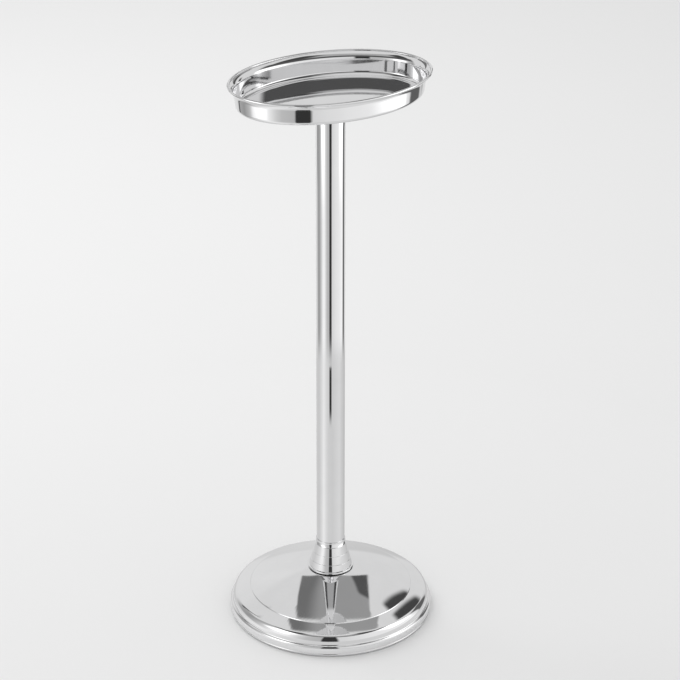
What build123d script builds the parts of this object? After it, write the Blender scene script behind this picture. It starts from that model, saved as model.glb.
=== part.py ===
from build123d import *
from math import radians, tan
import os

os.makedirs("parts", exist_ok=True)

# Pedestal stand: an oval pan on a round tube, with a stepped collar and a weighted domed base.
# Millimetres. The origin is on the floor, on the tube's axis. +Z is up, and +X runs along the
# pan's long axis.

# ---- driving dimensions ----

TOTAL_HEIGHT = 641.0
RUNNING_GAP = 0.02

# pan
PAN_HALF_LENGTH = 114.3
PAN_HALF_WIDTH = 80.5
PAN_DEPTH = 26.8
PAN_SHEET = 0.7
LIP_WIDTH = 7.0
LIP_DROP = 4.8
LIP_CURVE = 5.0
WALL_LEAN = 2.2
FLOOR_CURVE = 5.5
RIM_WIRE_RADIUS = 0.55
HEM_GAP = 0.05

# tube
TUBE_RADIUS = 31.75 / 2
TUBE_WALL = 1.5
PLUG_LENGTH = 25.0
PLUG_CHAMFER = 0.8

# head of the tube
MOUNT_PLATE_RADIUS = 34.0
MOUNT_PLATE_THICKNESS = 2.0
STUD_RADIUS = 5.0
STUD_LENGTH = 32.0
STUD_CHAMFER = 1.0
TRAY_WASHER_THICKNESS = 0.8
FERRULE_RADIUS = 20.0
FERRULE_HEIGHT = 10.0
FERRULE_WEB = 2.0
FERRULE_ROUND = 1.5

# domed base, from the middle out
DOME_SHEET = 1.2
SEAT_RADIUS = 24.0
SEAT_HEIGHT = 52.7
CROWN_BULGE = 1.5
SCORE_RADIUS = 92.0
SCORE_HEIGHT = 29.6
SCORE_WIDTH = 0.9
SCORE_DEPTH = 0.4
SHOULDER_RADIUS = 111.8
SHOULDER_HEIGHT = 15.0
SHOULDER_CURVE = 9.5
SHOULDER_START = 22.0
LEDGE_HEIGHT = 13.5
LEDGE_SLOPE = 25.0
LEDGE_CURVE = 1.9
FOOT_RADIUS = 114.8
FOOT_CURVE = 3.2
HEM_RADIUS = 1.6
HEM_LINE_HEIGHT = 3.3
HEM_LINE_WIDTH = 0.7
FLOOR_GAP = 0.5

# stepped collar, from the dome up: each tier has the radius of its foot and the height of its top
GASKET_THICKNESS = 0.8
FLANGE_RADIUS = 26.4
FLANGE_THICKNESS = 1.8
FLANGE_ROUND = 0.7
COLLAR_TIERS = ((24.4, 62.7), (22.1, 72.4), (19.5, 82.3))
TIER_TAPER = 13.0
TIER_ROUND = 0.4
NECK_FOOT_RADIUS = 16.85
NECK_RADIUS = 16.7
NECK_TOP = 88.8
NECK_ROUND = 0.4
COLLAR_BORE = TUBE_RADIUS + 0.1
O_RING_SECTION = 0.95
O_RING_HEIGHT = 67.0
O_RING_GROOVE_WIDTH = 2.6

# inside of the base
FELT_THICKNESS = 3.0
FELT_RADIUS = 109.0
FELT_HOLE_RADIUS = 6.0
PLATE_THICKNESS = 1.0
PLATE_RADIUS = 110.5
PLATE_HOLE_RADIUS = 17.0
WEIGHT_RADIUS = 96.0
WEIGHT_THICKNESS = 18.0
WEIGHT_CHAMFER = 2.0
RECESS_RADIUS = 15.0
RECESS_DEPTH = 13.0
HUB_RADIUS = 13.0
HUB_FLANGE_RADIUS = 22.0
HUB_FLANGE_THICKNESS = 4.0
BOLT_RADIUS = 6.0
BOLT_REACH = 20.0
BOLT_HOLE_RADIUS = 6.5
BOLT_HEAD_HEIGHT = 7.0
BOLT_HEAD_CORNER_RADIUS = 10.4
FLAT_WASHER_RADIUS = 12.0
FLAT_WASHER_THICKNESS = 2.4
SPRING_WASHER_RADIUS = 10.5
SPRING_WASHER_THICKNESS = 2.6
SPRING_WASHER_SPLIT = 1.5
SCREW_COUNT = 3
SCREW_CIRCLE = 70.0
SCREW_RADIUS = 2.0
SCREW_LENGTH = 9.0
SCREW_HEAD_RADIUS = 4.2
SCREW_HEAD_HEIGHT = 1.8
SCREW_HEAD_ROUND = 0.9
SCREW_SLOT_WIDTH = 1.0
SCREW_SLOT_DEPTH = 0.8

# ---- heights and radii that follow ----

PAN_FLOOR = TOTAL_HEIGHT - PAN_DEPTH
HEM_OUTER = RIM_WIRE_RADIUS + HEM_GAP + PAN_SHEET
WALL_FOOT_INSET = LIP_WIDTH + WALL_LEAN
FLOOR_INSET = WALL_FOOT_INSET + FLOOR_CURVE
MOUNT_PLATE_BOTTOM = PAN_FLOOR - MOUNT_PLATE_THICKNESS
FERRULE_TOP = MOUNT_PLATE_BOTTOM - TRAY_WASHER_THICKNESS
FERRULE_BOTTOM = FERRULE_TOP - FERRULE_HEIGHT
TUBE_TOP = FERRULE_TOP - FERRULE_WEB
TUBE_BORE = TUBE_RADIUS - TUBE_WALL
PLUG_RADIUS = TUBE_BORE - RUNNING_GAP

SHEET_HALF = DOME_SHEET / 2
SEAT_LINE = SEAT_HEIGHT - SHEET_HALF
HEM_CENTRE = (FOOT_RADIUS - HEM_RADIUS, FLOOR_GAP + HEM_RADIUS)

COLLAR_BOTTOM = SEAT_HEIGHT + GASKET_THICKNESS
FLANGE_TOP = COLLAR_BOTTOM + FLANGE_THICKNESS
O_RING_CENTRE_RADIUS = TUBE_RADIUS + O_RING_SECTION + RUNNING_GAP
O_RING_GROOVE_RADIUS = O_RING_CENTRE_RADIUS + O_RING_SECTION + RUNNING_GAP

WEIGHT_BOTTOM = FELT_THICKNESS + PLATE_THICKNESS
WEIGHT_TOP = WEIGHT_BOTTOM + WEIGHT_THICKNESS
RECESS_TOP = WEIGHT_BOTTOM + RECESS_DEPTH
FLAT_WASHER_BOTTOM = RECESS_TOP - FLAT_WASHER_THICKNESS
SPRING_WASHER_BOTTOM = FLAT_WASHER_BOTTOM - SPRING_WASHER_THICKNESS
BOLT_HEAD_BOTTOM = SPRING_WASHER_BOTTOM - BOLT_HEAD_HEIGHT
HUB_TOP = SEAT_HEIGHT - DOME_SHEET


def save(piece, name):
    """Label a finished piece and write it to its own file."""
    piece.label = name
    export_step(piece, f"parts/{name}.step")


# ---- tray: one wall profile swept round the oval, and a flat floor ----

SWEEP_START = Plane(origin=(PAN_HALF_LENGTH, 0, TOTAL_HEIGHT), x_dir=(1, 0, 0), z_dir=(0, -1, 0))

with BuildPart() as tray:
    with BuildLine(Plane.XY.offset(TOTAL_HEIGHT)) as rim_line:
        EllipticalCenterArc((0, 0), PAN_HALF_LENGTH, PAN_HALF_WIDTH, arc_size=360)
    with BuildSketch(SWEEP_START):
        with BuildLine():
            hem_centre = (-HEM_OUTER, -HEM_OUTER)
            lip_foot = (-LIP_WIDTH, -LIP_DROP)
            wall_foot = (-WALL_FOOT_INSET, PAN_SHEET / 2 - PAN_DEPTH)
            floor_start = (-FLOOR_INSET - PAN_SHEET, PAN_SHEET / 2 - PAN_DEPTH)
            FilletPolyline(
                hem_centre, lip_foot, wall_foot, floor_start, radius=(LIP_CURVE, FLOOR_CURVE)
            )
        trace(line_width=PAN_SHEET)
        with Locations(hem_centre):
            Circle(HEM_OUTER)
            Circle(RIM_WIRE_RADIUS + HEM_GAP, mode=Mode.SUBTRACT)
    sweep(path=rim_line.wires()[0])
    with BuildSketch(Plane.XY.offset(PAN_FLOOR)):
        Ellipse(PAN_HALF_LENGTH - FLOOR_INSET, PAN_HALF_WIDTH - FLOOR_INSET)
    extrude(amount=PAN_SHEET)
save(tray.part, "tray")

# ---- rim_wire: the wire inside the pan's rolled edge ----

with BuildPart() as rim_wire:
    with BuildLine(Plane.XY.offset(TOTAL_HEIGHT)) as wire_line:
        EllipticalCenterArc((0, 0), PAN_HALF_LENGTH, PAN_HALF_WIDTH, arc_size=360)
    with BuildSketch(SWEEP_START):
        with Locations((-HEM_OUTER, -HEM_OUTER)):
            Circle(RIM_WIRE_RADIUS)
    sweep(path=wire_line.wires()[0])
save(rim_wire.part, "rim_wire")

# ---- tray_mount_plate: round plate brazed below the pan's floor ----

with BuildPart() as tray_mount_plate:
    with BuildSketch(Plane.XY.offset(MOUNT_PLATE_BOTTOM)):
        Circle(MOUNT_PLATE_RADIUS)
    extrude(amount=MOUNT_PLATE_THICKNESS)
    chamfer(tray_mount_plate.faces().sort_by(Axis.Z)[0].edges(), MOUNT_PLATE_THICKNESS / 3)
save(tray_mount_plate.part, "tray_mount_plate")

# ---- tray_stud: threaded stud that hangs from the mount plate ----

with BuildPart() as tray_stud:
    with BuildSketch(Plane.XY.offset(MOUNT_PLATE_BOTTOM - STUD_LENGTH)):
        Circle(STUD_RADIUS)
    extrude(amount=STUD_LENGTH)
    chamfer(tray_stud.faces().sort_by(Axis.Z)[0].edges(), STUD_CHAMFER)
save(tray_stud.part, "tray_stud")

# ---- tray_washer: fibre washer between the mount plate and the ferrule ----

with BuildPart() as tray_washer:
    with BuildSketch(Plane.XY.offset(FERRULE_TOP)):
        Circle(FERRULE_RADIUS)
        Circle(STUD_RADIUS + RUNNING_GAP, mode=Mode.SUBTRACT)
    extrude(amount=TRAY_WASHER_THICKNESS)
save(tray_washer.part, "tray_washer")

# ---- tray_ferrule: turned cap over the tube's top end ----

with BuildPart() as tray_ferrule:
    with BuildSketch(Plane.XY.offset(FERRULE_BOTTOM)):
        Circle(FERRULE_RADIUS)
    extrude(amount=FERRULE_HEIGHT)
    fillet(tray_ferrule.faces().sort_by(Axis.Z)[0].edges(), FERRULE_ROUND)
    with Locations((0, 0, FERRULE_BOTTOM)):
        Cylinder(
            TUBE_RADIUS + RUNNING_GAP,
            FERRULE_HEIGHT - FERRULE_WEB,
            align=(Align.CENTER, Align.CENTER, Align.MIN),
            mode=Mode.SUBTRACT,
        )
    with Locations((0, 0, FERRULE_TOP)):
        Hole(STUD_RADIUS + RUNNING_GAP)
save(tray_ferrule.part, "tray_ferrule")

# ---- top_plug and bottom_plug: threaded plugs pressed into the tube's ends ----

with BuildPart() as top_plug:
    with BuildSketch(Plane.XY.offset(TUBE_TOP - PLUG_LENGTH)):
        Circle(PLUG_RADIUS)
    extrude(amount=PLUG_LENGTH)
    chamfer(top_plug.faces().sort_by(Axis.Z)[0].edges(), PLUG_CHAMFER)
    with Locations((0, 0, TUBE_TOP)):
        Hole(STUD_RADIUS + RUNNING_GAP)
save(top_plug.part, "top_plug")

with BuildPart() as bottom_plug:
    with BuildSketch(Plane.XY.offset(SEAT_HEIGHT)):
        Circle(PLUG_RADIUS)
    extrude(amount=PLUG_LENGTH)
    chamfer(bottom_plug.faces().sort_by(Axis.Z)[-1].edges(), PLUG_CHAMFER)
    with Locations((0, 0, SEAT_HEIGHT + PLUG_LENGTH)):
        Hole(BOLT_RADIUS + RUNNING_GAP)
save(bottom_plug.part, "bottom_plug")

# ---- pole_tube ----

with BuildPart() as pole_tube:
    with BuildSketch(Plane.XY.offset(SEAT_HEIGHT)):
        Circle(TUBE_RADIUS)
        Circle(TUBE_BORE, mode=Mode.SUBTRACT)
    extrude(amount=TUBE_TOP - SEAT_HEIGHT)
save(pole_tube.part, "pole_tube")

# ---- collar: three tapered tiers on a thin flange, with a short neck ----

with BuildPart() as collar:
    with BuildSketch(Plane.XY.offset(COLLAR_BOTTOM)):
        Circle(FLANGE_RADIUS)
    extrude(amount=FLANGE_THICKNESS)
    fillet(collar.faces().sort_by(Axis.Z)[-1].edges(), FLANGE_ROUND)
    tier_foot = FLANGE_TOP
    for tier_radius, tier_top in COLLAR_TIERS:
        with BuildSketch(Plane.XY.offset(tier_foot)):
            Circle(tier_radius)
        extrude(amount=tier_top - tier_foot, taper=TIER_TAPER)
        fillet(collar.faces().sort_by(Axis.Z)[-1].edges(), TIER_ROUND)
        tier_foot = tier_top
    with Locations((0, 0, tier_top)):
        Cone(
            NECK_FOOT_RADIUS,
            NECK_RADIUS,
            NECK_TOP - tier_top,
            align=(Align.CENTER, Align.CENTER, Align.MIN),
        )
    fillet(collar.faces().sort_by(Axis.Z)[-1].edges(), NECK_ROUND)
    with Locations((0, 0, NECK_TOP)):
        Hole(COLLAR_BORE)
    with Locations((0, 0, O_RING_HEIGHT)):
        Cylinder(O_RING_GROOVE_RADIUS, O_RING_GROOVE_WIDTH, mode=Mode.SUBTRACT)
save(collar.part, "collar")

# ---- collar_o_ring: rubber ring that grips the tube ----

with BuildPart() as collar_o_ring:
    with Locations((0, 0, O_RING_HEIGHT)):
        Torus(O_RING_CENTRE_RADIUS, O_RING_SECTION)
save(collar_o_ring.part, "collar_o_ring")

# ---- collar_gasket: thin seat ring between the collar and the dome ----

with BuildPart() as collar_gasket:
    with BuildSketch(Plane.XY.offset(SEAT_HEIGHT)):
        Circle(FLANGE_RADIUS - GASKET_THICKNESS / 2)
        Circle(COLLAR_BORE, mode=Mode.SUBTRACT)
    extrude(amount=GASKET_THICKNESS)
save(collar_gasket.part, "collar_gasket")

# ---- base_shell: spun sheet from the seat under the collar out to the rolled foot ----

with BuildPart() as base_shell:
    with BuildSketch(Plane.XZ):
        with BuildLine():
            Line((BOLT_HOLE_RADIUS, SEAT_LINE), (SEAT_RADIUS, SEAT_LINE))
            crown = SagittaArc(
                (SEAT_RADIUS, SEAT_LINE), (SCORE_RADIUS, SCORE_HEIGHT - SHEET_HALF), CROWN_BULGE
            )
            shoulder = CenterArc(
                (SHOULDER_RADIUS - SHOULDER_CURVE, SHOULDER_HEIGHT),
                SHOULDER_CURVE - SHEET_HALF,
                90 - SHOULDER_START,
                SHOULDER_START - 90,
            )
            Line(crown @ 1, shoulder @ 0)
            foot_line = FOOT_RADIUS - SHEET_HALF
            ledge_drop = (foot_line - (shoulder @ 1).X) * tan(radians(LEDGE_SLOPE))
            FilletPolyline(
                shoulder @ 1,
                ((shoulder @ 1).X, LEDGE_HEIGHT),
                (foot_line, LEDGE_HEIGHT - ledge_drop),
                (foot_line, HEM_CENTRE[1]),
                radius=(LEDGE_CURVE, FOOT_CURVE),
            )
        trace(line_width=DOME_SHEET)
        with Locations(HEM_CENTRE):
            Circle(HEM_RADIUS)
    revolve(axis=Axis.Z)
    with BuildSketch(Plane.XZ):
        with BuildLine():
            Polyline(
                (SCORE_RADIUS - SCORE_WIDTH / 2, SCORE_HEIGHT + SCORE_DEPTH),
                (SCORE_RADIUS + SCORE_WIDTH / 2, SCORE_HEIGHT + SCORE_DEPTH),
                (SCORE_RADIUS, SCORE_HEIGHT - SCORE_DEPTH),
                close=True,
            )
        make_face()
        with BuildLine():
            Polyline(
                (FOOT_RADIUS + HEM_LINE_WIDTH / 2, HEM_LINE_HEIGHT - HEM_LINE_WIDTH / 2),
                (FOOT_RADIUS + HEM_LINE_WIDTH / 2, HEM_LINE_HEIGHT + HEM_LINE_WIDTH / 2),
                (FOOT_RADIUS - HEM_LINE_WIDTH / 2, HEM_LINE_HEIGHT),
                close=True,
            )
        make_face()
    revolve(axis=Axis.Z, mode=Mode.SUBTRACT)
save(base_shell.part, "base_shell")

# ---- base_hub: flanged spacer between the weight and the seat ----

with BuildPart() as base_hub:
    with BuildSketch(Plane.XY.offset(WEIGHT_TOP)):
        Circle(HUB_RADIUS)
    extrude(amount=HUB_TOP - WEIGHT_TOP)
    with BuildSketch(Plane.XY.offset(WEIGHT_TOP)):
        Circle(HUB_FLANGE_RADIUS)
    extrude(amount=HUB_FLANGE_THICKNESS)
    with BuildSketch(Plane.XY.offset(HUB_TOP - HUB_FLANGE_THICKNESS)):
        Circle(HUB_FLANGE_RADIUS)
    extrude(amount=HUB_FLANGE_THICKNESS)
    with Locations((0, 0, HUB_TOP)):
        Hole(BOLT_HOLE_RADIUS)
save(base_hub.part, "base_hub")

# ---- base_weight: cast disc with a recess for the bolt's head and holes for the screws ----

with BuildPart() as base_weight:
    with BuildSketch(Plane.XY.offset(WEIGHT_BOTTOM)):
        Circle(WEIGHT_RADIUS)
    extrude(amount=WEIGHT_THICKNESS)
    chamfer(base_weight.faces().sort_by(Axis.Z)[-1].edges(), WEIGHT_CHAMFER)
    with BuildSketch(Plane.XY.offset(WEIGHT_BOTTOM)):
        Circle(RECESS_RADIUS)
    extrude(amount=RECESS_DEPTH, mode=Mode.SUBTRACT)
    with Locations((0, 0, WEIGHT_TOP)):
        Hole(BOLT_HOLE_RADIUS)
    with BuildSketch(Plane.XY.offset(WEIGHT_BOTTOM)):
        with PolarLocations(SCREW_CIRCLE, SCREW_COUNT):
            Circle(SCREW_RADIUS + RUNNING_GAP)
    extrude(amount=SCREW_LENGTH, mode=Mode.SUBTRACT)
save(base_weight.part, "base_weight")

# ---- base_bolt: hexagon bolt from the weight's recess up into the bottom plug ----

with BuildPart() as base_bolt:
    with BuildSketch(Plane.XY.offset(BOLT_HEAD_BOTTOM)):
        RegularPolygon(BOLT_HEAD_CORNER_RADIUS, 6)
    extrude(amount=BOLT_HEAD_HEIGHT)
    with BuildSketch(Plane.XY.offset(SPRING_WASHER_BOTTOM)):
        Circle(BOLT_RADIUS)
    extrude(amount=SEAT_HEIGHT + BOLT_REACH - SPRING_WASHER_BOTTOM)
    chamfer(base_bolt.faces().sort_by(Axis.Z)[-1].edges(), STUD_CHAMFER)
save(base_bolt.part, "base_bolt")

# ---- bolt_flat_washer and bolt_spring_washer ----

with BuildPart() as bolt_flat_washer:
    with BuildSketch(Plane.XY.offset(FLAT_WASHER_BOTTOM)):
        Circle(FLAT_WASHER_RADIUS)
        Circle(BOLT_HOLE_RADIUS, mode=Mode.SUBTRACT)
    extrude(amount=FLAT_WASHER_THICKNESS)
save(bolt_flat_washer.part, "bolt_flat_washer")

with BuildPart() as bolt_spring_washer:
    with BuildSketch(Plane.XY.offset(SPRING_WASHER_BOTTOM)):
        Circle(SPRING_WASHER_RADIUS)
        Circle(BOLT_HOLE_RADIUS, mode=Mode.SUBTRACT)
        with Locations((SPRING_WASHER_RADIUS, 0)):
            Rectangle(SPRING_WASHER_RADIUS, SPRING_WASHER_SPLIT, mode=Mode.SUBTRACT)
    extrude(amount=SPRING_WASHER_THICKNESS)
save(bolt_spring_washer.part, "bolt_spring_washer")

# ---- bottom_plate: sheet disc that closes the base ----

with BuildPart() as bottom_plate:
    with BuildSketch(Plane.XY.offset(FELT_THICKNESS)):
        Circle(PLATE_RADIUS)
        Circle(PLATE_HOLE_RADIUS, mode=Mode.SUBTRACT)
        with PolarLocations(SCREW_CIRCLE, SCREW_COUNT):
            Circle(SCREW_RADIUS + RUNNING_GAP, mode=Mode.SUBTRACT)
    extrude(amount=PLATE_THICKNESS)
save(bottom_plate.part, "bottom_plate")

# ---- plate_screws: slotted pan-head screws that hold the bottom plate to the weight ----

with BuildPart() as plate_screws:
    with BuildSketch(Plane.XY.offset(FELT_THICKNESS - SCREW_HEAD_HEIGHT)):
        with PolarLocations(SCREW_CIRCLE, SCREW_COUNT):
            Circle(SCREW_HEAD_RADIUS)
    extrude(amount=SCREW_HEAD_HEIGHT)
    fillet(plate_screws.faces().group_by(Axis.Z)[0].edges(), SCREW_HEAD_ROUND)
    with BuildSketch(Plane.XY.offset(FELT_THICKNESS)):
        with PolarLocations(SCREW_CIRCLE, SCREW_COUNT):
            Circle(SCREW_RADIUS)
    extrude(amount=SCREW_LENGTH)
    with BuildSketch(Plane.XY.offset(FELT_THICKNESS - SCREW_HEAD_HEIGHT)):
        with PolarLocations(SCREW_CIRCLE, SCREW_COUNT):
            Rectangle(2 * SCREW_HEAD_RADIUS, SCREW_SLOT_WIDTH)
    extrude(amount=SCREW_SLOT_DEPTH, mode=Mode.SUBTRACT)
save(plate_screws.part, "plate_screws")

# ---- felt_pad: the disc that the stand rests on ----

with BuildPart() as felt_pad:
    with BuildSketch():
        Circle(FELT_RADIUS)
        with PolarLocations(SCREW_CIRCLE, SCREW_COUNT):
            Circle(FELT_HOLE_RADIUS, mode=Mode.SUBTRACT)
    extrude(amount=FELT_THICKNESS)
save(felt_pad.part, "felt_pad")
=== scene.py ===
import math

import bmesh
import bpy
from mathutils import Matrix, Vector


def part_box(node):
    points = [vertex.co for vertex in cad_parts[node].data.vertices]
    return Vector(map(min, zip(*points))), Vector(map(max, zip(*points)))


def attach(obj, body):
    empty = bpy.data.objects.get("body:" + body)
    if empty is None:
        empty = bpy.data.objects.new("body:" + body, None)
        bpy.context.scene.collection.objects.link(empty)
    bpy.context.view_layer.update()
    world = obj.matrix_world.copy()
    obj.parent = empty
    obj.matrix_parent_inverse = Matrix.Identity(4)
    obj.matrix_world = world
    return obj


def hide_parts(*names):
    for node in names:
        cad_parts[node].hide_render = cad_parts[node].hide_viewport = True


MM = 0.001
ROOT = "root"

# ---- the camera: a long lens that looks down on the stand from the front left ----
# angles in degrees, lengths in metres, the lens in millimetres

CAMERA_AZIMUTH = -27.6
CAMERA_PITCH = 25.3
CAMERA_DISTANCE = 2.8
CAMERA_TARGET = Vector((0.0, 0.0, 0.3351))
CAMERA_LENS = 135.2
CAMERA_SHIFT = (0.0138, 0.0007)

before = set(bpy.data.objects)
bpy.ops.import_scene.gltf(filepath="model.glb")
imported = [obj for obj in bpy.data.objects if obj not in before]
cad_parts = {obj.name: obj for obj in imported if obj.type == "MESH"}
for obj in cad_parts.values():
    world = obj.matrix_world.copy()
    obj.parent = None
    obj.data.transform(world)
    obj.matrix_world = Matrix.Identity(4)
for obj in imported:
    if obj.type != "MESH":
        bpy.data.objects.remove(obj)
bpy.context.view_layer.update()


# ---- outlines: corner points in millimetres, each with the radius that rounds it ----


def rounded(corners, step_angle=6.0):
    """Points along a polyline whose corners (x, z, radius) are replaced by arcs."""
    points = []
    for index, (x, z, radius) in enumerate(corners):
        here = Vector((x, z))
        if radius == 0 or index in (0, len(corners) - 1):
            points.append(here)
            continue
        before = (Vector(corners[index - 1][:2]) - here).normalized()
        after = (Vector(corners[index + 1][:2]) - here).normalized()
        half_angle = before.angle(after) / 2
        reach = radius / math.tan(half_angle)
        centre = here + (before + after).normalized() * radius / math.sin(half_angle)
        first = here + before * reach - centre
        last = here + after * reach - centre
        turn = first.angle_signed(last)
        steps = max(2, math.ceil(abs(math.degrees(turn)) / step_angle))
        for step in range(steps + 1):
            points.append(centre + Matrix.Rotation(-turn * step / steps, 2) @ first)
    return points


def arc(centre, radius, first, last, step_angle=6.0):
    """Points on an arc, with its angles in degrees from the x axis."""
    steps = max(2, math.ceil(abs(last - first) / step_angle))
    points = []
    for step in range(steps + 1):
        angle = math.radians(first + (last - first) * step / steps)
        points.append(Vector(centre) + radius * Vector((math.cos(angle), math.sin(angle))))
    return points


def offset(points, distance):
    """The same open outline moved to its right by a distance."""
    moved = []
    for index, point in enumerate(points):
        ahead = points[min(index + 1, len(points) - 1)] - points[max(index - 1, 0)]
        moved.append(point + Vector((ahead.y, -ahead.x)).normalized() * distance)
    return moved


# ---- mesh builders ----


def ring_faces(segments, count, closed=True):
    """Quads that join an outline of count points to its next copy round a ring."""
    faces = []
    for segment in range(segments):
        here = segment * count
        there = (segment + 1) % segments * count
        for index in range(count if closed else count - 1):
            after = (index + 1) % count
            faces.append((here + index, there + index, there + after, here + after))
    return faces


def make_piece(name, verts, faces):
    """A smooth-shaded mesh, given in millimetres, that rides on the stand."""
    mesh = bpy.data.meshes.new(name)
    mesh.from_pydata([Vector(vert) * MM for vert in verts], [], faces)
    work = bmesh.new()
    work.from_mesh(mesh)
    bmesh.ops.recalc_face_normals(work, faces=work.faces)
    work.to_mesh(mesh)
    work.free()
    mesh.shade_smooth()
    piece = bpy.data.objects.new(name, mesh)
    bpy.context.scene.collection.objects.link(piece)
    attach(piece, ROOT)
    return piece


def spin(name, outline, segments=288):
    """A closed outline (radius, height) turned once round the stand's axis."""
    verts = []
    for segment in range(segments):
        angle = 2 * math.pi * segment / segments
        for point in outline:
            verts.append((point.x * math.cos(angle), point.x * math.sin(angle), point.y))
    return make_piece(name, verts, ring_faces(segments, len(outline)))


def sweep_oval(outline, half_length, half_width, height, segments):
    """Vertices of an outline (x outward from the rim, z from its top) carried round an oval."""
    verts = []
    for segment in range(segments):
        angle = 2 * math.pi * segment / segments
        on_oval = Vector((half_length * math.cos(angle), half_width * math.sin(angle)))
        outward = Vector((math.cos(angle) / half_length, math.sin(angle) / half_width)).normalized()
        for point in outline:
            place = on_oval + outward * point.x
            verts.append((place.x, place.y, height + point.y))
    return verts


# ---- materials: noise scales are features per metre, and depths are metres ----

HAZE_SCALE = 45
HAZE_DULLING = 0.93
HAIRLINE_SCALE = 420
HAIRLINE_DEPTH = 0.000002
WAVE_SCALE = 22
POLISH_ROUGHNESS = (0.025, 0.055)
STAIN_SCALE = 30
STAIN_DULLING = 0.7
GRAIN_DEPTH = 0.00002


def new_material(name):
    """A material with its node tree and its shader."""
    material = bpy.data.materials.new(name)
    material.use_nodes = True
    tree = material.node_tree
    shader = tree.nodes["Principled BSDF"]
    return material, tree, shader


def add(tree, kind, **settings):
    """A new node with its properties or inputs set by name."""
    node = tree.nodes.new(kind)
    for key, value in settings.items():
        if hasattr(node, key):
            setattr(node, key, value)
        else:
            node.inputs[key.replace("_", " ")].default_value = value
    return node


def ramp(tree, source, low, high, first=0.0, last=1.0):
    """A source number spread from first..last to low..high, clamped."""
    node = add(tree, "ShaderNodeMapRange")
    node.inputs["From Min"].default_value = first
    node.inputs["From Max"].default_value = last
    node.inputs["To Min"].default_value = low
    node.inputs["To Max"].default_value = high
    tree.links.new(source, node.inputs["Value"])
    return node.outputs["Result"]


def tint(tree, source, dark, light):
    """A colour that runs from dark to light as the source goes from 0 to 1."""
    node = add(tree, "ShaderNodeMix", data_type="RGBA")
    node.inputs["A"].default_value = (*dark, 1)
    node.inputs["B"].default_value = (*light, 1)
    tree.links.new(source, node.inputs["Factor"])
    return node.outputs["Result"]


def noise(tree, coords, scale, detail=3.0, stretch=(1, 1, 1)):
    """A noise number over the object's own coordinates, in features of about 1 m / scale."""
    mapping = add(tree, "ShaderNodeMapping")
    mapping.inputs["Scale"].default_value = stretch
    tree.links.new(coords, mapping.inputs["Vector"])
    node = add(tree, "ShaderNodeTexNoise", Scale=scale, Detail=detail)
    tree.links.new(mapping.outputs["Vector"], node.inputs["Vector"])
    return node.outputs["Fac"]


def polished_metal(name, colour, waviness, stretch=(1, 1, 1)):
    """Bright plate: gentle waves from spinning and polishing, fine hairlines and a faint haze."""
    material, tree, shader = new_material(name)
    coords = add(tree, "ShaderNodeTexCoord").outputs["Object"]
    haze = noise(tree, coords, HAZE_SCALE, 4)
    hairline = noise(tree, coords, HAIRLINE_SCALE, 2, stretch)
    wave = noise(tree, coords, WAVE_SCALE, 1, stretch)
    dull = tuple(channel * HAZE_DULLING for channel in colour)
    tree.links.new(tint(tree, haze, dull, colour), shader.inputs["Base Color"])
    tree.links.new(ramp(tree, haze, *POLISH_ROUGHNESS, 0.3, 0.7), shader.inputs["Roughness"])
    shader.inputs["Metallic"].default_value = 1.0
    big = add(tree, "ShaderNodeBump", Strength=1.0, Distance=waviness)
    tree.links.new(wave, big.inputs["Height"])
    fine = add(tree, "ShaderNodeBump", Strength=0.25, Distance=HAIRLINE_DEPTH)
    tree.links.new(hairline, fine.inputs["Height"])
    tree.links.new(big.outputs["Normal"], fine.inputs["Normal"])
    tree.links.new(fine.outputs["Normal"], shader.inputs["Normal"])
    return material


def plain_metal(name, colour, roughness, grain, stretch):
    """Turned or pressed steel: drawn grain along one direction over a satin surface."""
    material, tree, shader = new_material(name)
    coords = add(tree, "ShaderNodeTexCoord").outputs["Object"]
    lines = noise(tree, coords, grain, 4, stretch)
    stain = noise(tree, coords, STAIN_SCALE, 3)
    dark = tuple(channel * STAIN_DULLING for channel in colour)
    tree.links.new(tint(tree, stain, dark, colour), shader.inputs["Base Color"])
    tree.links.new(ramp(tree, lines, roughness * 0.8, roughness * 1.4), shader.inputs["Roughness"])
    shader.inputs["Metallic"].default_value = 1.0
    bump = add(tree, "ShaderNodeBump", Strength=0.4, Distance=GRAIN_DEPTH)
    tree.links.new(lines, bump.inputs["Height"])
    tree.links.new(bump.outputs["Normal"], shader.inputs["Normal"])
    return material


def dull_surface(name, dark, light, roughness, grain, depth):
    """Rubber, fibre, felt or rough casting: mottled colour over a grainy surface."""
    material, tree, shader = new_material(name)
    coords = add(tree, "ShaderNodeTexCoord").outputs["Object"]
    mottle = noise(tree, coords, grain / 6, 4)
    pits = noise(tree, coords, grain, 6)
    tree.links.new(tint(tree, mottle, dark, light), shader.inputs["Base Color"])
    tree.links.new(ramp(tree, pits, roughness - 0.1, roughness), shader.inputs["Roughness"])
    bump = add(tree, "ShaderNodeBump", Strength=0.8, Distance=depth)
    tree.links.new(pits, bump.inputs["Height"])
    tree.links.new(bump.outputs["Normal"], shader.inputs["Normal"])
    return material


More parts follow.
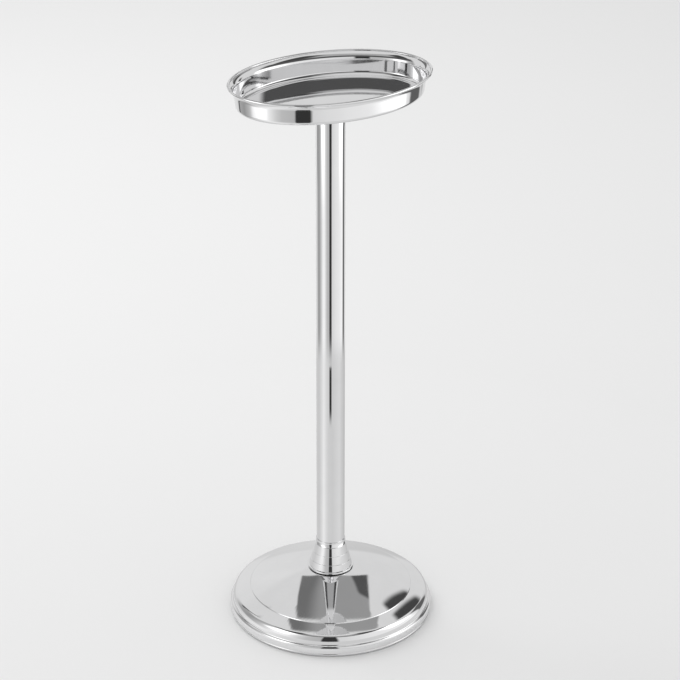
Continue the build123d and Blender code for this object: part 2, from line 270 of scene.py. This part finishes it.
BRIGHT = (0.90, 0.90, 0.905)
ALONG_TUBE = (1, 1, 0.08)
ALONG_GRAIN = (1, 1, 0.05)
dome_metal = polished_metal("polished_dome", BRIGHT, 0.00012)
pan_metal = polished_metal("polished_pan", BRIGHT, 0.00010)
tube_metal = polished_metal("polished_tube", BRIGHT, 0.00005, ALONG_TUBE)
turned_metal = polished_metal("polished_turned", BRIGHT, 0.00003, (1, 1, 6))
steel = plain_metal("plain_steel", (0.60, 0.60, 0.61), 0.32, 700, ALONG_GRAIN)
hardware = plain_metal("zinc_hardware", (0.66, 0.67, 0.66), 0.28, 500, (1, 1, 4))
casting = dull_surface("black_casting", (0.03, 0.03, 0.032), (0.08, 0.08, 0.082), 0.75, 900, 0.0002)
rubber = dull_surface("black_rubber", (0.012, 0.012, 0.012), (0.03, 0.03, 0.03), 0.7, 1500, 0.00003)
fibre = dull_surface("red_fibre", (0.20, 0.07, 0.04), (0.36, 0.15, 0.09), 0.8, 2500, 0.00005)
felt = dull_surface("grey_felt", (0.02, 0.02, 0.022), (0.07, 0.07, 0.075), 1.0, 3000, 0.0004)


def dress(names, material):
    """Give CAD nodes a material in every slot."""
    for name in names:
        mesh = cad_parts[name].data
        mesh.materials.clear()
        mesh.materials.append(material)


dress(["tray_mount_plate", "tray_ferrule"], turned_metal)
dress(["rim_wire", "top_plug", "bottom_plug", "base_hub", "bottom_plate"], steel)
dress(["tray_stud", "base_bolt"], hardware)
dress(["bolt_flat_washer", "bolt_spring_washer", "plate_screws"], hardware)
dress(["base_weight"], casting)
dress(["collar_o_ring", "collar_gasket"], rubber)
dress(["tray_washer"], fibre)
dress(["felt_pad"], felt)

# ---- domed base: spun sheet with a scored line, a rounded shoulder and a rolled foot ----

DOME_SHEET = 1.2
SEAT_RADIUS = 24.0
CROWN_BULGE = 1.5
BOLT_HOLE_RADIUS = 6.5
SCORE_RADIUS = 92.0
SCORE_HEIGHT = 29.6
SCORE_WIDTH = 1.1
SCORE_DEPTH = 0.4
SHOULDER_RADIUS = 111.8
SHOULDER_HEIGHT = 15.0
SHOULDER_CURVE = 9.5
SHOULDER_START = 22.0
LEDGE_HEIGHT = 13.2
LEDGE_SLOPE = 25.0
FOOT_LINE_HEIGHT = 3.3
FOOT_LINE_DEPTH = 0.35
HEM_RADIUS = 1.6
SCORE_EDGE_ROUND = 0.35
SCORE_ROOT_ROUND = 0.15
LEDGE_INNER_ROUND = 1.5
LEDGE_OUTER_ROUND = 3.4
FOOT_LINE_EDGE_ROUND = 0.2
FOOT_LINE_ROOT_ROUND = 0.1
BASE_SEGMENTS = 384


def crown_arc(seat):
    """The dome's outer face as a shallow arc from the flat seat out to the scored line."""
    first = Vector((SEAT_RADIUS, seat))
    last = Vector((SCORE_RADIUS, SCORE_HEIGHT))
    chord = last - first
    radius = (chord.length**2 / 4 + CROWN_BULGE**2) / (2 * CROWN_BULGE)
    below = Vector((chord.y, -chord.x)).normalized() * (radius - CROWN_BULGE)
    centre = (first + last) / 2 + below
    start = math.degrees(math.atan2(first.y - centre.y, first.x - centre.x))
    end = math.degrees(math.atan2(last.y - centre.y, last.x - centre.x))
    return arc(centre, radius, start, end, 0.16)


def build_base():
    """The dome's outline from the seat to the rolled foot, given its sheet's thickness."""
    low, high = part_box("base_shell")
    foot = high.x / MM
    floor_gap = low.z / MM
    seat = high.z / MM
    ledge_drop = (foot - SHOULDER_RADIUS) * math.tan(math.radians(LEDGE_SLOPE))
    centre = (SHOULDER_RADIUS - SHOULDER_CURVE, SHOULDER_HEIGHT)
    shoulder = arc(centre, SHOULDER_CURVE, 90 - SHOULDER_START, 0, 2.5)
    crown = crown_arc(seat)
    slope = (crown[-2].y - crown[-1].y) / (crown[-1].x - crown[-2].x)
    half_score = SCORE_WIDTH / 2
    outer = [Vector((BOLT_HOLE_RADIUS, seat))] + crown[:-3]
    outer += rounded(
        [
            (SCORE_RADIUS - SCORE_WIDTH, SCORE_HEIGHT + SCORE_WIDTH * slope, 0),
            (SCORE_RADIUS - half_score, SCORE_HEIGHT + half_score * slope, SCORE_EDGE_ROUND),
            (SCORE_RADIUS, SCORE_HEIGHT - SCORE_DEPTH, SCORE_ROOT_ROUND),
            (SCORE_RADIUS + half_score, SCORE_HEIGHT - half_score * slope, SCORE_EDGE_ROUND),
            (shoulder[0].x, shoulder[0].y, 0),
        ],
        12,
    )
    outer += shoulder[1:-1]
    outer += rounded(
        [
            (SHOULDER_RADIUS, SHOULDER_HEIGHT, 0),
            (SHOULDER_RADIUS, LEDGE_HEIGHT, LEDGE_INNER_ROUND),
            (foot, LEDGE_HEIGHT - ledge_drop, LEDGE_OUTER_ROUND),
            (foot, FOOT_LINE_HEIGHT + FOOT_LINE_DEPTH, FOOT_LINE_EDGE_ROUND),
            (foot - FOOT_LINE_DEPTH, FOOT_LINE_HEIGHT, FOOT_LINE_ROOT_ROUND),
            (foot, FOOT_LINE_HEIGHT - FOOT_LINE_DEPTH, FOOT_LINE_EDGE_ROUND),
            (foot, floor_gap + HEM_RADIUS, 0),
        ],
        8,
    )
    hem_centre = (foot - HEM_RADIUS, floor_gap + HEM_RADIUS)
    hem = arc(hem_centre, HEM_RADIUS, 0, -200, 12)
    sheet = offset(outer, DOME_SHEET)
    inner = [point for point in sheet if point.y > FOOT_LINE_HEIGHT + DOME_SHEET]
    base = spin("base_dome", outer + hem[1:] + inner[::-1], BASE_SEGMENTS)
    base.data.materials.append(dome_metal)
    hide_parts("base_shell")


build_base()

# ---- stepped collar: each tier has the radius of its foot and the height of its top ----

COLLAR_TIERS = ((24.4, 62.7), (22.1, 72.4), (19.5, 82.3))
TIER_TAPER = 13.0
TIER_ROUND = 0.4
FLANGE_THICKNESS = 1.8
NECK_FOOT_RADIUS = 16.85
NECK_RADIUS = 16.7
INNER_CORNER = 0.12
FLANGE_BOTTOM_ROUND = 0.2
FLANGE_TOP_ROUND = 0.7
NECK_ROUND = 0.35
COLLAR_CLEARANCE = 0.1
COLLAR_SEGMENTS = 256


def build_collar():
    """A thin flange, three tapered tiers and a short neck, turned in one piece."""
    low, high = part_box("collar")
    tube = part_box("pole_tube")[1].x / MM
    bore = tube + COLLAR_CLEARANCE
    bottom = low.z / MM
    top = high.z / MM
    flange = high.x / MM
    foot = bottom + FLANGE_THICKNESS
    corners = [
        (bore, bottom, 0),
        (flange, bottom, FLANGE_BOTTOM_ROUND),
        (flange, foot, FLANGE_TOP_ROUND),
    ]
    slope = math.tan(math.radians(TIER_TAPER))
    for radius, tier_top in COLLAR_TIERS:
        corners.append((radius, foot, INNER_CORNER))
        corners.append((radius - slope * (tier_top - foot), tier_top, TIER_ROUND))
        foot = tier_top
    corners.append((NECK_FOOT_RADIUS, foot, 0))
    corners.append((NECK_RADIUS, top, NECK_ROUND))
    corners.append((bore, top, 0))
    collar = spin("collar_turned", rounded(corners, 9), COLLAR_SEGMENTS)
    collar.data.materials.append(turned_metal)
    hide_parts("collar")


build_collar()

# ---- tube ----

TUBE_WALL = 1.5
TUBE_EDGE = 0.3
TUBE_SPANS = 24
TUBE_SEGMENTS = 192


def build_tube():
    """The straight tube, with its ends broken by a small round."""
    low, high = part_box("pole_tube")
    radius = high.x / MM
    bore = radius - TUBE_WALL
    bottom = low.z / MM
    top = high.z / MM
    corners = [(bore, bottom, 0), (radius - TUBE_EDGE, bottom, 0), (radius, bottom + TUBE_EDGE, 0)]
    for span in range(1, TUBE_SPANS):
        corners.append((radius, bottom + (top - bottom) * span / TUBE_SPANS, 0))
    corners += [(radius, top - TUBE_EDGE, 0), (radius - TUBE_EDGE, top, 0), (bore, top, 0)]
    tube = spin("tube_drawn", rounded(corners), TUBE_SEGMENTS)
    tube.data.materials.append(tube_metal)
    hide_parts("pole_tube")


build_tube()

# ---- oval pan: flared lip with a rolled edge, leaning wall and flat floor ----

PAN_SHEET = 0.7
HEM_BEAD = 1.3
LIP_WIDTH = 7.0
LIP_DROP = 4.8
LIP_CURVE = 10.0
WALL_LEAN = 2.2
FLOOR_CURVE = 5.5
FLOOR_STRIP = 4.0
PAN_SEGMENTS = 480


def build_pan():
    """The lip, wall and floor curve carried round the oval, closed by two flat floor faces."""
    low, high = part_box("tray")
    half_length = high.x / MM
    half_width = high.y / MM
    height = high.z / MM
    middle = (low.z / MM - height) + PAN_SHEET / 2
    wall_foot = LIP_WIDTH + WALL_LEAN
    sheet_line = rounded(
        [
            (-HEM_BEAD, -HEM_BEAD, 0),
            (-LIP_WIDTH, -LIP_DROP, LIP_CURVE),
            (-wall_foot, middle, FLOOR_CURVE),
            (-wall_foot - FLOOR_CURVE - FLOOR_STRIP, middle, 0),
        ],
        4,
    )
    lip = sheet_line[1] - sheet_line[0]
    lip_angle = math.degrees(math.atan2(lip.y, lip.x)) % 360
    spread = math.degrees(math.asin(PAN_SHEET / 2 / HEM_BEAD))
    bead = arc((-HEM_BEAD, -HEM_BEAD), HEM_BEAD, lip_angle - spread, lip_angle + spread - 360, 12)
    inside = offset(sheet_line[1:], PAN_SHEET / 2)
    outside = offset(sheet_line[1:], -PAN_SHEET / 2)
    outline = inside[::-1] + bead + outside
    count = len(outline)
    verts = sweep_oval(outline, half_length, half_width, height, PAN_SEGMENTS)
    faces = ring_faces(PAN_SEGMENTS, count, closed=False)
    for index in (0, count - 1):
        verts.append((0, 0, height + outline[index].y))
        hub = len(verts) - 1
        for segment in range(PAN_SEGMENTS):
            after = (segment + 1) % PAN_SEGMENTS
            faces.append((hub, segment * count + index, after * count + index))
    pan = make_piece("oval_pan", verts, faces)
    pan.data.materials.append(pan_metal)
    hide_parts("tray")


build_pan()

# ---- studio: a pale floor, soft light, and panels that only the polished metal reflects ----

FLOOR_COLOUR = (0.81, 0.81, 0.81)
FLOOR_SIZE = 14
FLOOR_MOTTLE = 0.99
WORLD_STRENGTH = 0.83
KEY_PLACE = (-1.2, 1.3, 2.3)
KEY_SIZE = 1.8
KEY_POWER = 22

# the reflected room, in metres: a round wall, a flat ceiling and a ring on the floor
WALL_RADIUS = 0.65
WALL_TOP = 1.25
WALL_FOOT = 0.05
CEILING_HEIGHT = 1.6
CEILING_REACH = 2.4
CEILING_LIGHT = 0.74
RING_RADIUS = 0.13
ABOVE_FLOOR = 0.002
BASE_EYE = 0.04

# levels are listed against degrees right of the camera
GAP = (-8.5, 6.5)
GAP_LEVEL = 0.035
GAP_EDGE = 2
GAP_START = (0.47, 0.52)
HORIZON = (
    (-180, 0.74),
    (-150, 0.80),
    (-130, 0.75),
    (-118, 0.42),
    (-100, 0.34),
    (-88, 0.48),
    (-72, 0.75),
    (-62, 1.00),
    (-48, 1.00),
    (-34, 0.68),
    (-26, 0.55),
    (-10.5, 0.50),
    (GAP[0], GAP_LEVEL),
    (GAP[1], GAP_LEVEL),
    (9.5, 0.74),
    (40, 0.86),
    (76, 0.94),
    (98, 1.06),
    (105, 0.85),
    (112, 0.70),
    (132, 0.66),
    (141, 0.74),
    (180, 0.74),
)
FLOOR_RING = (
    (-180, 0.70),
    (-137, 0.66),
    (-104, 0.64),
    (-80, 0.76),
    (-56, 0.93),
    (-33, 0.77),
    (-16, 0.69),
    (16, 0.67),
    (51, 0.73),
    (75, 0.76),
    (104, 0.66),
    (137, 0.56),
    (180, 0.64),
)
# the dark hatch in the ceiling widens away from the camera: half its width at the stand, how much
# wider it gets per metre beyond it, where it starts and ends along the middle, and how far those
# two edges bow at its sides
HATCH_HALF = 0.42
HATCH_WIDENING = 0.24
HATCH_RIGHT_STRETCH = 1.15
HATCH_NEAR = 0.28
HATCH_NEAR_BOW = 0.55
HATCH_FAR = 0.90
HATCH_FAR_BOW = 1.05
HATCH_EDGE = 0.03
HATCH_LEVEL = 0.17
HATCH_RISE = 0.16
HATCH_RISE_SPAN = (-0.42, -0.12)

# its far right corner is darker, past a line that leans right as it goes away
CORNER_DROP = 0.24
CORNER_SPAN = (0.40, 0.48)
CORNER_LEAN = 0.1
CORNER_NEAR = (0.75, 0.85)

# the dark ceiling over the camera: where it starts, and the angles over which it fades straight ahead
OVERHEAD_START = (0.40, 0.46)
OVERHEAD_END = (0.0, 0.1)
OVERHEAD_LEVEL = 0.06
AHEAD_LIFT = 0.36
AHEAD_ANGLES = (45, 65)

# pairs are the places over which something comes up or goes down: degrees round the wall, or heights
LAMP_HEIGHTS = ((0.2, 0.4), (0.84, 0.92))
LEFT_LAMP = ((-84, -72), (-52, -44))
RIGHT_LAMP = ((60, 78), (100, 106))
LAMP_LIFT = 0.75
FLAG_ANGLES = ((108, 112), (128, 134))
FLAG_TOP = (0.42, 0.50)
FLAG_LEVEL = 0.12
DARK_HEIGHTS = (0.92, 1.0)
DARK_LEVEL = 0.09
BACK_ANGLES = (96, 108)
BACK_HEIGHTS = (0.42, 0.55)

# two dark uprights stand beyond the stand, and lean to the right below a height
POST_ANGLE = 130
POST_LEAN = 18
POST_STRAIGHT = 0.85
POST_LEVEL = 0.06
RIGHT_POST_EDGE = (2, 5)
RIGHT_POST_HEIGHTS = ((0.34, 0.42), (0.78, 0.90))
LEFT_POST_EDGE = (1, 4)
LEFT_POST_HEIGHTS = ((0.25, 0.30), (0.66, 0.80))


def to_studio(x, y, z):
    """A place given right of, beyond and above the stand, as the camera sees it."""
    turn = Matrix.Rotation(math.radians(CAMERA_AZIMUTH), 3, "Z")
    return turn @ Vector((x, y, z))


def table_level(table, place):
    """The level at a place in a table of (place, level) pairs, on straight lines between them."""
    for (first, low), (last, high) in zip(table, table[1:]):
        if first <= place <= last:
            return low + (high - low) * (place - first) / (last - first)
    return table[-1][1]


def smooth(value, first, last):
    """0 before first, 1 after last, and an even curve between."""
    share = min(max((value - first) / (last - first), 0), 1)
    return share * share * (3 - 2 * share)


def window(value, rise, fall):
    """1 between two edges, which are the spans over which it comes up and goes down."""
    return smooth(value, *rise) * (1 - smooth(value, *fall))


def around(azimuth, radius, height):
    """A place at a number of degrees right of the camera, a distance from the stand's axis."""
    angle = math.radians(azimuth)
    return to_studio(radius * math.sin(angle), -radius * math.cos(angle), height)


def glow_material():
    """An emitter whose strength is the mesh's own level."""
    material = bpy.data.materials.new("studio_glow")
    material.use_nodes = True
    tree = material.node_tree
    tree.nodes.clear()
    level = tree.nodes.new("ShaderNodeAttribute")
    level.attribute_name = "level"
    emitter = tree.nodes.new("ShaderNodeEmission")
    output = tree.nodes.new("ShaderNodeOutputMaterial")
    tree.links.new(level.outputs["Fac"], emitter.inputs["Strength"])
    tree.links.new(emitter.outputs["Emission"], output.inputs["Surface"])
    return material


glow = glow_material()


def studio_panel(name, columns, rows, place, level):
    """A grid of the studio that only reflections see, with a level at each point."""
    verts = []
    levels = []
    for row in range(rows + 1):
        for column in range(columns + 1):
            across = column / columns
            up = row / rows
            verts.append(place(across, up))
            levels.append(level(across, up))
    faces = []
    for row in range(rows):
        for column in range(columns):
            corner = row * (columns + 1) + column
            faces.append((corner, corner + 1, corner + columns + 2, corner + columns + 1))
    mesh = bpy.data.meshes.new(name)
    mesh.from_pydata(verts, [], faces)
    attribute = mesh.attributes.new("level", "FLOAT", "POINT")
    attribute.data.foreach_set("value", levels)
    mesh.materials.append(glow)
    panel = bpy.data.objects.new(name, mesh)
    bpy.context.scene.collection.objects.link(panel)
    panel.visible_camera = False
    panel.visible_diffuse = False
    panel.visible_transmission = False
    panel.visible_shadow = False


def wall_place(across, up):
    return around(-180 + 360 * across, WALL_RADIUS, ABOVE_FLOOR + WALL_TOP * up)


def overhead_level(x, y):
    """The ceiling's level at a place right of and beyond the stand."""
    half = (HATCH_HALF + HATCH_WIDENING * y) * (HATCH_RIGHT_STRETCH if x > 0 else 1.0)
    near = HATCH_NEAR + HATCH_NEAR_BOW * x * x
    far = HATCH_FAR + HATCH_FAR_BOW * x * x
    hatch = 1 - smooth(abs(x), half - HATCH_EDGE, half)
    hatch *= window(y, (near - HATCH_EDGE, near), (far, far + HATCH_EDGE))
    inside = HATCH_LEVEL + HATCH_RISE * smooth(x, *HATCH_RISE_SPAN)
    corner = smooth(x, *(edge + CORNER_LEAN * y for edge in CORNER_SPAN))
    inside -= CORNER_DROP * corner * smooth(y, *CORNER_NEAR)
    level = CEILING_LIGHT * (1 - hatch) + inside * hatch
    ring = smooth(math.hypot(x, y), *OVERHEAD_START) * (1 - smooth(y, *OVERHEAD_END))
    ahead = 1 - smooth(abs(math.degrees(math.atan2(x, -y))), *AHEAD_ANGLES)
    return level * (1 - ring) + (OVERHEAD_LEVEL + AHEAD_LIFT * ahead) * ring


def posts(azimuth, height):
    """How much of the two dark uprights covers a place on the wall."""
    lean = POST_LEAN * max(0, POST_STRAIGHT - height)
    right = 1 - smooth(abs(azimuth - POST_ANGLE - lean), *RIGHT_POST_EDGE)
    left = 1 - smooth(abs(azimuth + POST_ANGLE - lean), *LEFT_POST_EDGE)
    return max(
        right * window(height, *RIGHT_POST_HEIGHTS),
        left * window(height, *LEFT_POST_HEIGHTS),
    )


def wall_level(across, up):
    azimuth = -180 + 360 * across
    height = up * WALL_TOP
    level = table_level(HORIZON, azimuth)
    lamps = max(window(azimuth, *LEFT_LAMP), window(azimuth, *RIGHT_LAMP))
    level += LAMP_LIFT * window(height, *LAMP_HEIGHTS) * lamps
    flag = window(azimuth, *FLAG_ANGLES) * (1 - smooth(height, *FLAG_TOP))
    level += (FLAG_LEVEL - level) * flag
    level += (DARK_LEVEL - level) * smooth(height, *DARK_HEIGHTS)
    # the back of the wall shows the ceiling beyond it, as the base sees it
    away = smooth(abs(azimuth), *BACK_ANGLES) * smooth(height, *BACK_HEIGHTS)
    reach = WALL_RADIUS * (CEILING_HEIGHT - BASE_EYE) / max(height - BASE_EYE, 0.1)
    angle = math.radians(azimuth)
    beyond = overhead_level(reach * math.sin(angle), -reach * math.cos(angle))
    level += (beyond - level) * away
    level += (POST_LEVEL - level) * posts(azimuth, height)
    foot = smooth(height, 0.0, WALL_FOOT)
    return table_level(FLOOR_RING, azimuth) * (1 - foot) + level * foot


def ceiling_spot(across, up):
    return CEILING_REACH * (2 * across - 1), CEILING_REACH * (2 * up - 1)


def ceiling_place(across, up):
    return to_studio(*ceiling_spot(across, up), CEILING_HEIGHT)


def ceiling_level(across, up):
    return overhead_level(*ceiling_spot(across, up))


def ring_place(across, up):
    radius = RING_RADIUS + (WALL_RADIUS - RING_RADIUS) * up
    return around(-180 + 360 * across, radius, ABOVE_FLOOR)


def ring_level(across, up):
    azimuth = -180 + 360 * across
    radius = RING_RADIUS + (WALL_RADIUS - RING_RADIUS) * up
    level = table_level(FLOOR_RING, azimuth)
    gap = window(azimuth, (GAP[0] - GAP_EDGE, GAP[0]), (GAP[1], GAP[1] + GAP_EDGE))
    return level + (GAP_LEVEL - level) * gap * smooth(radius, *GAP_START)


studio_panel("studio_wall", 720, 100, wall_place, wall_level)
studio_panel("studio_ceiling", 200, 200, ceiling_place, ceiling_level)
studio_panel("studio_ring", 720, 40, ring_place, ring_level)


def build_floor():
    """A plain pale floor, with a fine grain."""
    material, tree, shader = new_material("pale_floor")
    coords = add(tree, "ShaderNodeTexCoord").outputs["Object"]
    grain = noise(tree, coords, 3, 2)
    shaded = tuple(channel * FLOOR_MOTTLE for channel in FLOOR_COLOUR)
    tree.links.new(tint(tree, grain, shaded, FLOOR_COLOUR), shader.inputs["Base Color"])
    shader.inputs["Roughness"].default_value = 0.9
    shader.inputs["Specular IOR Level"].default_value = 0.1
    bpy.ops.mesh.primitive_plane_add(size=FLOOR_SIZE)
    floor = bpy.context.object
    floor.name = "floor"
    floor.data.materials.append(material)


build_floor()


def add_light(name, place, size, power):
    """A soft square light that faces the stand."""
    data = bpy.data.lights.new(name, "AREA")
    data.size = size
    data.energy = power
    light = bpy.data.objects.new(name, data)
    bpy.context.scene.collection.objects.link(light)
    light.location = to_studio(*place)
    light.rotation_euler = (-light.location).to_track_quat("-Z", "Y").to_euler()
    light.visible_glossy = False


add_light("key", KEY_PLACE, KEY_SIZE, KEY_POWER)

world = bpy.data.worlds.new("pale_world")
bpy.context.scene.world = world
world.use_nodes = True
background = world.node_tree.nodes["Background"]
background.inputs["Color"].default_value = (1, 1, 1, 1)
background.inputs["Strength"].default_value = WORLD_STRENGTH

# ---- camera and colour ----

camera_data = bpy.data.cameras.new("camera")
camera_data.lens = CAMERA_LENS
camera_data.shift_x, camera_data.shift_y = CAMERA_SHIFT
camera_data.clip_end = 60
camera = bpy.data.objects.new("camera", camera_data)
bpy.context.scene.collection.objects.link(camera)
pitch = math.radians(CAMERA_PITCH)
back = to_studio(0, -math.cos(pitch), math.sin(pitch))
camera.location = CAMERA_TARGET + back * CAMERA_DISTANCE
camera.rotation_euler = back.to_track_quat("Z", "Y").to_euler()
bpy.context.scene.camera = camera

scene = bpy.context.scene
scene.view_settings.view_transform = "Standard"
scene.cycles.max_bounces = 16
scene.cycles.glossy_bounces = 10
scene.cycles.use_denoising = True
